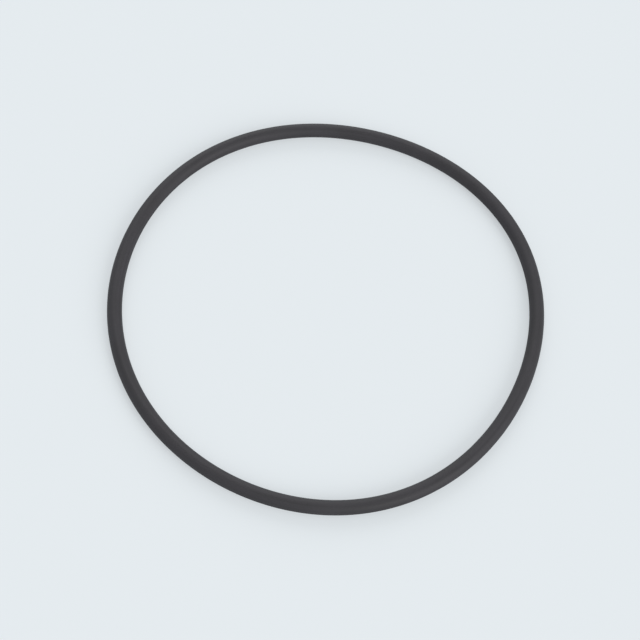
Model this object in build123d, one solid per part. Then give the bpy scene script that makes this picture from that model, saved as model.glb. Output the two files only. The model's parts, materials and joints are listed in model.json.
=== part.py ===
from build123d import *
import math
import os

# A moulded rubber sealing ring for a cylinder head: one endless cord of round section, lying flat.
# Sizes are in millimetres. +Z runs up the ring's axis, and the origin is the middle of the ring
# in the plane that it lies on.

# Driving dimensions
inside_diameter = 100.0  # across the hole, measured to the round of the cord
cord_diameter = 3.55     # thickness of the cord from its lowest to its highest point
line_height = 0.05       # how far the trimmed parting line stands out of the cord
line_crest = 0.15        # width of the parting line along its flat, trimmed crest
line_foot = 0.35         # width of the parting line where it rises out of the cord

# Sizes that follow from them
cord_radius = cord_diameter / 2
cord_centre_radius = inside_diameter / 2 + cord_radius
crest_reach = cord_radius + line_height
foot_reach = math.sqrt(cord_radius**2 - (line_foot / 2) ** 2)


def cord_section():
    """The cord cut through: a circle with the two halves of the mould meeting at mid-height."""
    # The mould parts in the ring's own mid-plane, so the trimmed line runs round the inside
    # and round the outside of the ring, and both are drawn by one flat shape across the cord.
    right_side = [
        (foot_reach, -line_foot / 2),
        (crest_reach, -line_crest / 2),
        (crest_reach, line_crest / 2),
        (foot_reach, line_foot / 2),
    ]
    left_side = [(-x, y) for x, y in reversed(right_side)]
    parting_line = Polygon(*right_side, *left_side, align=None)
    return Circle(cord_radius) + parting_line


def sealing_ring():
    """The section carried once round the ring's axis, with the cord's lowest line at height 0."""
    section = Plane.XZ * Pos(cord_centre_radius, cord_radius) * cord_section()
    ring = revolve(section, axis=Axis.Z, revolution_arc=360)
    ring.label = "sealing_ring"
    return ring


os.makedirs("parts", exist_ok=True)
export_step(sealing_ring(), "parts/sealing_ring.step")
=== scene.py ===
import json
import math

import bmesh
import bpy
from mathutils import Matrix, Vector


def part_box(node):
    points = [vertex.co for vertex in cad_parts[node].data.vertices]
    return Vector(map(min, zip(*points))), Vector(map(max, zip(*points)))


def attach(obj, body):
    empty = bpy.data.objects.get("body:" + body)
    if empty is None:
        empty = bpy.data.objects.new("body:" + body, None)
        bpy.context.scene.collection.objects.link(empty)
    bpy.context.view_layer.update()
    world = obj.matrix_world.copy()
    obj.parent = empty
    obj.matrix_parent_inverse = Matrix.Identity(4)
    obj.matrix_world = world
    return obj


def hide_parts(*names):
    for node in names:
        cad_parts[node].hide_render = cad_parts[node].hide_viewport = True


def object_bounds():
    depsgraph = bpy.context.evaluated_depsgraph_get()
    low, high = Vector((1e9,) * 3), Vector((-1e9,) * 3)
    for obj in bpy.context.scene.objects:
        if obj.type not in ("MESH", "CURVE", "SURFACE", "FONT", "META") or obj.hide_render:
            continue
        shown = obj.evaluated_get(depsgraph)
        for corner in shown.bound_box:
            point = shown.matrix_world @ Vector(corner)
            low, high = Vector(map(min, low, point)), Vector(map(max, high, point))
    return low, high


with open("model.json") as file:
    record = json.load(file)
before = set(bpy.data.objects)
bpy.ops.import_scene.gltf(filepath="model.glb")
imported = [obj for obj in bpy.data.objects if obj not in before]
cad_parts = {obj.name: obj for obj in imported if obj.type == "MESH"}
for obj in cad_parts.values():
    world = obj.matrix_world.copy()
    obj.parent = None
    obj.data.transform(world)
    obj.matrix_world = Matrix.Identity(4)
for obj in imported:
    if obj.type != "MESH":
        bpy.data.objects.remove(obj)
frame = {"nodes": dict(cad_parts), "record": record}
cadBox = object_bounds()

print("frame loaded:", ", ".join(frame["nodes"]))

mm = 0.001


def addNode(tree, kind, inputs=None, **settings):
    # a node with its settings; each input takes a plain value or another node's output
    node = tree.nodes.new(kind)
    for name, value in settings.items():
        setattr(node, name, value)
    for socket, value in (inputs or {}).items():
        if isinstance(value, bpy.types.NodeSocket):
            tree.links.new(value, node.inputs[socket])
        else:
            node.inputs[socket].default_value = value
    return node


def linearColour(hexText):
    # sRGB hex to the linear values that shaders take
    channels = [int(hexText[i:i + 2], 16) / 255 for i in (1, 3, 5)]
    linear = [c / 12.92 if c <= 0.04045 else ((c + 0.055) / 1.055) ** 2.4 for c in channels]
    return (*linear, 1.0)


def emptyMaterial(name):
    material = bpy.data.materials.new(name)
    material.use_nodes = True
    material.node_tree.nodes.clear()
    return material


# The rubber

rubber = {
    "darkColour": "#232023",      # carbon-black compound
    "bloomColour": "#312e32",     # faint grey bloom that rubber sweats out as it ages
    "bloomPatch": 7.0 * mm,
    "wipeWidth": 0.5 * mm,        # handling draws the bloom out into streaks along the cord
    "wipeLength": 30.0 * mm,
    "roughness": 0.62,
    "bloomRoughness": 0.7,
    "bloomFrom": 0.75,            # patches and wipes together: no bloom below this, full bloom above the next
    "bloomTo": 1.25,
    "patchDetail": 4.0,
    "streakDetail": 2.0,
    "grainDetail": 3.0,
    "ior": 1.52,
    "grain": 0.16 * mm,           # the mould's blasted face, drawn a little coarse so that it shows
    "grainDepth": 0.016 * mm,
    "turnedLine": 0.22 * mm,      # spacing of the lines that the mould's turned groove leaves
    "turnedLineLength": 22.0 * mm,
    "turnedLineDepth": 0.009 * mm,
}


def alongTheCord(tree, width, length):
    # streaks: a noise that changes quickly across the section and slowly round the ring
    place = addNode(tree, "ShaderNodeTexCoord").outputs["Object"]
    section = addNode(tree, "ShaderNodeAttribute", attribute_name="cordSection").outputs["Vector"]
    across = addNode(tree, "ShaderNodeVectorMath", {0: section, "Scale": 1 / width}, operation="SCALE")
    along = addNode(tree, "ShaderNodeVectorMath", {0: place, "Scale": 1 / length}, operation="SCALE")
    acrossSplit = addNode(tree, "ShaderNodeSeparateXYZ", {0: across.outputs["Vector"]}).outputs
    alongSplit = addNode(tree, "ShaderNodeSeparateXYZ", {0: along.outputs["Vector"]}).outputs
    space = addNode(tree, "ShaderNodeCombineXYZ", {
        "X": acrossSplit["X"], "Y": acrossSplit["Y"], "Z": alongSplit["X"],
    }).outputs["Vector"]
    return addNode(tree, "ShaderNodeTexNoise", {
        "Vector": space, "W": alongSplit["Y"],
        "Scale": 1.0, "Detail": rubber["streakDetail"], "Roughness": 0.5,
    }, noise_dimensions="4D").outputs["Fac"]


def compressionMouldedNitrile():
    # nitrile rubber pressed in a turned steel mould: matt black-grey, a broad soft shine along the cord,
    # a faint bloom wiped out along it, and fine lines because the mould's groove was cut on a lathe
    material = emptyMaterial("compressionMouldedNitrile")
    tree = material.node_tree
    place = addNode(tree, "ShaderNodeTexCoord").outputs["Object"]

    patches = addNode(tree, "ShaderNodeTexNoise", {
        "Vector": place,
        "Scale": 1 / rubber["bloomPatch"], "Detail": rubber["patchDetail"], "Roughness": 0.6,
    }).outputs["Fac"]
    wipes = alongTheCord(tree, rubber["wipeWidth"], rubber["wipeLength"])
    bloom = addNode(tree, "ShaderNodeMath", {0: patches, 1: wipes}, operation="ADD").outputs[0]
    bloomShare = addNode(tree, "ShaderNodeMapRange", {
        "Value": bloom, "From Min": rubber["bloomFrom"], "From Max": rubber["bloomTo"],
    }).outputs["Result"]
    colour = addNode(tree, "ShaderNodeMix", {
        0: bloomShare, 6: linearColour(rubber["darkColour"]), 7: linearColour(rubber["bloomColour"]),
    }, data_type="RGBA").outputs[2]
    roughness = addNode(tree, "ShaderNodeMapRange", {
        "Value": bloomShare, "To Min": rubber["roughness"], "To Max": rubber["bloomRoughness"],
    }).outputs["Result"]

    turnedLines = alongTheCord(tree, rubber["turnedLine"], rubber["turnedLineLength"])
    lineBump = addNode(tree, "ShaderNodeBump", {
        "Height": turnedLines, "Strength": 1.0, "Distance": rubber["turnedLineDepth"],
    }).outputs["Normal"]
    grain = addNode(tree, "ShaderNodeTexNoise", {
        "Vector": place,
        "Scale": 1 / rubber["grain"], "Detail": rubber["grainDetail"], "Roughness": 0.55,
    }).outputs["Fac"]
    surface = addNode(tree, "ShaderNodeBump", {
        "Height": grain, "Strength": 1.0, "Distance": rubber["grainDepth"], "Normal": lineBump,
    }).outputs["Normal"]
    shader = addNode(tree, "ShaderNodeBsdfPrincipled", {
        "Base Color": colour, "Roughness": roughness, "IOR": rubber["ior"], "Normal": surface,
    })
    addNode(tree, "ShaderNodeOutputMaterial", {"Surface": shader.outputs["BSDF"]})
    return material


# The ring

ring = {
    "lineFoot": 0.35 * mm,        # width of the parting line where it rises out of the cord
    "lineWander": 0.5,            # share by which the trimmed line's height comes and goes
    "linePatch": 2.6 * mm,
    "threeLobe": 0.44 * mm,       # how far the relaxed ring lies out of round
    "threeLobeTurn": 34.7,        # degrees
    "fourLobe": 0.26 * mm,
    "fourLobeTurn": 30.2,
    "stepsRound": 600,
    "stepsAcross": 128,
    "crowding": 0.8,              # gathers the section's points towards the parting line
}


def partingLineAndCord():
    # the cord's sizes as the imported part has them
    walls = {m["name"]: m["dims"] for m in frame["record"]["mounts"] if m["dims"]}
    inside = walls["inside_diameter"]["r_mm"] * mm
    outside = walls["outside_diameter"]["r_mm"] * mm
    low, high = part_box("sealing_ring")
    cordRadius = (high.z - low.z) / 2
    return {
        "Centre Radius": (inside + outside) / 2,
        "Cord Radius": cordRadius,
        "Line Height": (outside - inside) / 2 - cordRadius,
        "Line Crest": walls["inside_diameter"]["length_mm"] * mm,
        "Place": Vector(((low.x + high.x) / 2, (low.y + high.y) / 2, (low.z + high.z) / 2)),
    }


def sweptRingTree():
    # carries the cord's section round a circle that lies slightly out of round
    tree = bpy.data.node_groups.new("sweptSealingRing", "GeometryNodeTree")
    asked = {
        "Centre Radius": "NodeSocketFloat", "Cord Radius": "NodeSocketFloat",
        "Line Height": "NodeSocketFloat", "Line Crest": "NodeSocketFloat",
        "Line Foot": "NodeSocketFloat", "Line Wander": "NodeSocketFloat",
        "Line Patch": "NodeSocketFloat", "Place": "NodeSocketVector",
        "Three Lobe": "NodeSocketFloat", "Three Lobe Turn": "NodeSocketFloat",
        "Four Lobe": "NodeSocketFloat", "Four Lobe Turn": "NodeSocketFloat",
        "Steps Round": "NodeSocketInt", "Steps Across": "NodeSocketInt",
        "Crowding": "NodeSocketFloat", "Rubber": "NodeSocketMaterial",
    }
    for name, kind in asked.items():
        tree.interface.new_socket(name, in_out="INPUT", socket_type=kind)
    tree.interface.new_socket("Ring", in_out="OUTPUT", socket_type="NodeSocketGeometry")
    given = addNode(tree, "NodeGroupInput").outputs
    point = addNode(tree, "GeometryNodeInputPosition").outputs["Position"]
    pointSplit = addNode(tree, "ShaderNodeSeparateXYZ", {0: point}).outputs
    turn = addNode(tree, "ShaderNodeMath", {
        0: pointSplit["Y"], 1: pointSplit["X"],
    }, operation="ARCTAN2").outputs[0]

    # the path: a circle pushed in and out by its lobes
    bulge = 0.0
    for lobes, depth, lean in ((3, "Three Lobe", "Three Lobe Turn"), (4, "Four Lobe", "Four Lobe Turn")):
        leaned = addNode(tree, "ShaderNodeMath", {0: turn, 1: given[lean]}, operation="SUBTRACT").outputs[0]
        turned = addNode(tree, "ShaderNodeMath", {0: leaned, 1: lobes}, operation="MULTIPLY").outputs[0]
        wave = addNode(tree, "ShaderNodeMath", {0: turned}, operation="COSINE").outputs[0]
        bulge = addNode(tree, "ShaderNodeMath", {
            0: wave, 1: given[depth], 2: bulge,
        }, operation="MULTIPLY_ADD").outputs[0]
    outward = addNode(tree, "ShaderNodeVectorMath", {0: point}, operation="NORMALIZE").outputs["Vector"]
    push = addNode(tree, "ShaderNodeVectorMath", {0: outward, "Scale": bulge}, operation="SCALE")
    circle = addNode(tree, "GeometryNodeCurvePrimitiveCircle", {
        "Resolution": given["Steps Round"], "Radius": given["Centre Radius"],
    }, mode="RADIUS").outputs["Curve"]
    lobed = addNode(tree, "GeometryNodeSetPosition", {
        "Geometry": circle, "Offset": push.outputs["Vector"],
    }).outputs["Geometry"]
    path = addNode(tree, "GeometryNodeSetCurveNormal", {"Curve": lobed}, mode="Z_UP").outputs["Curve"]

    # the section: a circle whose points stand closer where the parting line runs
    doubled = addNode(tree, "ShaderNodeMath", {0: turn, 1: 2.0}, operation="MULTIPLY").outputs[0]
    pull = addNode(tree, "ShaderNodeMath", {0: doubled}, operation="SINE").outputs[0]
    halfCrowding = addNode(tree, "ShaderNodeMath", {
        0: given["Crowding"], 1: -0.5,
    }, operation="MULTIPLY").outputs[0]
    crowded = addNode(tree, "ShaderNodeMath", {
        0: pull, 1: halfCrowding, 2: turn,
    }, operation="MULTIPLY_ADD").outputs[0]
    sectionX = addNode(tree, "ShaderNodeMath", {0: crowded}, operation="COSINE").outputs[0]
    sectionY = addNode(tree, "ShaderNodeMath", {0: crowded}, operation="SINE").outputs[0]
    unit = addNode(tree, "ShaderNodeCombineXYZ", {"X": sectionX, "Y": sectionY}).outputs["Vector"]
    rounded = addNode(tree, "ShaderNodeVectorMath", {
        0: unit, "Scale": given["Cord Radius"],
    }, operation="SCALE").outputs["Vector"]
    sectionCircle = addNode(tree, "GeometryNodeCurvePrimitiveCircle", {
        "Resolution": given["Steps Across"], "Radius": given["Cord Radius"],
    }, mode="RADIUS").outputs["Curve"]
    section = addNode(tree, "GeometryNodeSetPosition", {
        "Geometry": sectionCircle, "Position": rounded,
    }).outputs["Geometry"]
    marked = addNode(tree, "GeometryNodeStoreNamedAttribute", {
        "Geometry": section, "Name": "cordSection", "Value": point,
    }, data_type="FLOAT_VECTOR", domain="POINT").outputs["Geometry"]
    cord = addNode(tree, "GeometryNodeCurveToMesh", {
        "Curve": path, "Profile Curve": marked,
    }).outputs["Mesh"]

    # the parting line, raised where the section crosses the mould's joint
    kept = addNode(tree, "GeometryNodeInputNamedAttribute", {
        "Name": "cordSection",
    }, data_type="FLOAT_VECTOR").outputs["Attribute"]
    keptSplit = addNode(tree, "ShaderNodeSeparateXYZ", {0: kept}).outputs
    fromJoint = addNode(tree, "ShaderNodeMath", {0: keptSplit["Y"]}, operation="ABSOLUTE").outputs[0]
    halfFoot = addNode(tree, "ShaderNodeMath", {
        0: given["Line Foot"], 1: 0.5,
    }, operation="MULTIPLY").outputs[0]
    halfCrest = addNode(tree, "ShaderNodeMath", {
        0: given["Line Crest"], 1: 0.5,
    }, operation="MULTIPLY").outputs[0]
    ridge = addNode(tree, "ShaderNodeMapRange", {
        "Value": fromJoint, "From Min": halfFoot, "From Max": halfCrest,
    }, interpolation_type="SMOOTHSTEP").outputs["Result"]
    patchScale = addNode(tree, "ShaderNodeMath", {
        0: 1.0, 1: given["Line Patch"],
    }, operation="DIVIDE").outputs[0]
    patches = addNode(tree, "ShaderNodeTexNoise", {
        "Vector": point, "Scale": patchScale, "Detail": 2.0,
    }).outputs["Fac"]
    wander = addNode(tree, "ShaderNodeMath", {0: patches, 1: 0.5}, operation="SUBTRACT").outputs[0]
    trimmed = addNode(tree, "ShaderNodeMath", {
        0: wander, 1: given["Line Wander"], 2: 1.0,
    }, operation="MULTIPLY_ADD").outputs[0]
    height = addNode(tree, "ShaderNodeMath", {
        0: trimmed, 1: given["Line Height"],
    }, operation="MULTIPLY").outputs[0]
    raised = addNode(tree, "ShaderNodeMath", {0: ridge, 1: height}, operation="MULTIPLY").outputs[0]
    normal = addNode(tree, "GeometryNodeInputNormal").outputs["Normal"]
    lift = addNode(tree, "ShaderNodeVectorMath", {0: normal, "Scale": raised}, operation="SCALE")
    lined = addNode(tree, "GeometryNodeSetPosition", {
        "Geometry": cord, "Offset": lift.outputs["Vector"],
    }).outputs["Geometry"]

    placed = addNode(tree, "GeometryNodeTransform", {
        "Geometry": lined, "Translation": given["Place"],
    }).outputs["Geometry"]
    smooth = addNode(tree, "GeometryNodeSetShadeSmooth", {"Geometry": placed}).outputs["Geometry"]
    real = addNode(tree, "GeometryNodeRealizeInstances", {"Geometry": smooth}).outputs["Geometry"]
    finished = addNode(tree, "GeometryNodeSetMaterial", {
        "Geometry": real, "Material": given["Rubber"],
    }).outputs["Geometry"]
    addNode(tree, "NodeGroupOutput", {"Ring": finished})
    return tree


def plainMesh(piece):
    # what the piece's modifiers make, as an ordinary mesh
    graph = bpy.context.evaluated_depsgraph_get()
    made = bpy.data.meshes.new_from_object(
        piece.evaluated_get(graph), preserve_all_data_layers=True, depsgraph=graph)
    piece.modifiers.clear()
    piece.data = made


def checkMesh(piece):
    # a sound skin has two faces on every edge, no loose point and a volume above nothing
    skin = bmesh.new()
    skin.from_mesh(piece.data)
    torn = sum(len(edge.link_faces) != 2 for edge in skin.edges)
    loose = sum(not vertex.link_faces for vertex in skin.verts)
    volume = skin.calc_volume(signed=True) / mm ** 3
    print(f"{piece.name}: {len(skin.faces)} faces, {torn} torn edges, {loose} loose points")
    print(f"{piece.name}: {volume:.0f} mm3")
    skin.free()


def mouldedRing(material):
    piece = bpy.data.objects.new("moulded_ring", bpy.data.meshes.new("moulded_ring"))
    bpy.context.scene.collection.objects.link(piece)
    values = {
        **partingLineAndCord(),
        "Line Foot": ring["lineFoot"],
        "Line Wander": ring["lineWander"],
        "Line Patch": ring["linePatch"],
        "Three Lobe": ring["threeLobe"],
        "Three Lobe Turn": math.radians(ring["threeLobeTurn"]),
        "Four Lobe": ring["fourLobe"],
        "Four Lobe Turn": math.radians(ring["fourLobeTurn"]),
        "Steps Round": ring["stepsRound"],
        "Steps Across": ring["stepsAcross"],
        "Crowding": ring["crowding"],
        "Rubber": material,
    }
    sweep = piece.modifiers.new("sweep", "NODES")
    sweep.node_group = sweptRingTree()
    for socket in sweep.node_group.interface.items_tree:
        if socket.in_out == "INPUT":
            sweep[socket.identifier] = values[socket.name]
    plainMesh(piece)
    checkMesh(piece)
    return piece


moulded = mouldedRing(compressionMouldedNitrile())
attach(moulded, "root")
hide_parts("sealing_ring")
print("ring made")

# The floor and the light

studio = {
    "floorColour": "#e8edf0",
    "floorSide": 6.0,             # metres
    "floorOwnShare": 0.55,        # how much of the floor's paleness shadows can't take away
    "worldColour": "#e6ebee",
    "worldStrength": 0.66,
}

lamps = {
    # softness is how wide the lamp looks from the ring, in degrees
    "frontRight": {"azimuth": 322.0, "elevation": 30.0, "softness": 41.0, "strength": 1.6},
    "backLeft": {"azimuth": 100.0, "elevation": 30.0, "softness": 41.0, "strength": 1.0},
}


def backgroundShare(tree):
    # 1 where the eye, a reflection or a clear thing looks straight at the surface
    light = addNode(tree, "ShaderNodeLightPath").outputs
    either = addNode(tree, "ShaderNodeMath", {
        0: light["Is Camera Ray"], 1: light["Is Glossy Ray"],
    }, operation="MAXIMUM").outputs[0]
    return addNode(tree, "ShaderNodeMath", {
        0: either, 1: light["Is Transmission Ray"],
    }, operation="MAXIMUM").outputs[0]


def paleFloorPaint():
    # matt painted board, which keeps a soft shadow
    material = emptyMaterial("paleFloorPaint")
    tree = material.node_tree
    colour = linearColour(studio["floorColour"])
    paint = addNode(tree, "ShaderNodeBsdfDiffuse", {"Color": colour}).outputs["BSDF"]
    own = addNode(tree, "ShaderNodeEmission", {"Color": colour, "Strength": 1.0}).outputs["Emission"]
    share = addNode(tree, "ShaderNodeMath", {
        0: backgroundShare(tree), 1: studio["floorOwnShare"],
    }, operation="MULTIPLY").outputs[0]
    mixed = addNode(tree, "ShaderNodeMixShader", {0: share, 1: paint, 2: own}).outputs["Shader"]
    addNode(tree, "ShaderNodeOutputMaterial", {"Surface": mixed})
    return material


def makeFloor():
    low, high = cadBox
    half = studio["floorSide"] / 2
    mesh = bpy.data.meshes.new("floor")
    corners = [(-half, -half, low.z), (half, -half, low.z), (half, half, low.z), (-half, half, low.z)]
    mesh.from_pydata(corners, [], [(0, 1, 2, 3)])
    mesh.materials.append(paleFloorPaint())
    floor = bpy.data.objects.new("floor", mesh)
    bpy.context.scene.collection.objects.link(floor)


def makeWorld():
    world = bpy.data.worlds.new("softRoom")
    world.use_nodes = True
    tree = world.node_tree
    tree.nodes.clear()
    strength = addNode(tree, "ShaderNodeMapRange", {
        "Value": backgroundShare(tree), "To Min": studio["worldStrength"], "To Max": 1.0,
    }).outputs["Result"]
    room = addNode(tree, "ShaderNodeBackground", {
        "Color": linearColour(studio["worldColour"]), "Strength": strength,
    }).outputs["Background"]
    addNode(tree, "ShaderNodeOutputWorld", {"Surface": room})
    bpy.context.scene.world = world


def makeLamp(name, values):
    # a large soft lamp so far off that it lights the whole floor evenly
    turn, rise = math.radians(values["azimuth"]), math.radians(values["elevation"])
    towards = Vector((math.cos(turn) * math.cos(rise), math.sin(turn) * math.cos(rise), math.sin(rise)))
    light = bpy.data.lights.new(name, "SUN")
    light.angle = math.radians(values["softness"])
    light.energy = values["strength"]
    lamp = bpy.data.objects.new(name, light)
    lamp.location = towards
    lamp.rotation_euler = towards.to_track_quat("Z", "Y").to_euler()
    bpy.context.scene.collection.objects.link(lamp)


makeFloor()
makeWorld()
for name, values in lamps.items():
    makeLamp(name, values)
print("floor and light made")

# The camera

camera = {
    "elevation": 62.85,           # degrees above the floor, looking along +Y
    "roll": 7.15,
    "distance": 7.97,             # in radii of the cord's centre line, as the next two are
    "aimX": -0.0248,
    "aimY": -0.0734,
    "lens": 95.2,
    "nearClip": 0.01,
    "farClip": 20.0,
}


def makeCamera():
    sizes = partingLineAndCord()
    radius, middle = sizes["Centre Radius"], sizes["Place"]
    rise = math.radians(camera["elevation"])
    back = Vector((0.0, -math.cos(rise), math.sin(rise)))
    aim = middle + Vector((camera["aimX"], camera["aimY"], 0.0)) * radius
    eye = bpy.data.objects.new("camera", bpy.data.cameras.new("camera"))
    eye.data.lens = camera["lens"]
    eye.data.clip_start = camera["nearClip"]
    eye.data.clip_end = camera["farClip"]
    eye.location = aim + back * camera["distance"] * radius
    eye.rotation_mode = "ZYX"     # the roll is about the camera's own line of sight
    eye.rotation_euler = (math.pi / 2 - rise, 0.0, math.radians(camera["roll"]))
    bpy.context.scene.collection.objects.link(eye)
    bpy.context.scene.camera = eye


makeCamera()
bpy.context.scene.view_settings.view_transform = "Standard"
print("camera made")
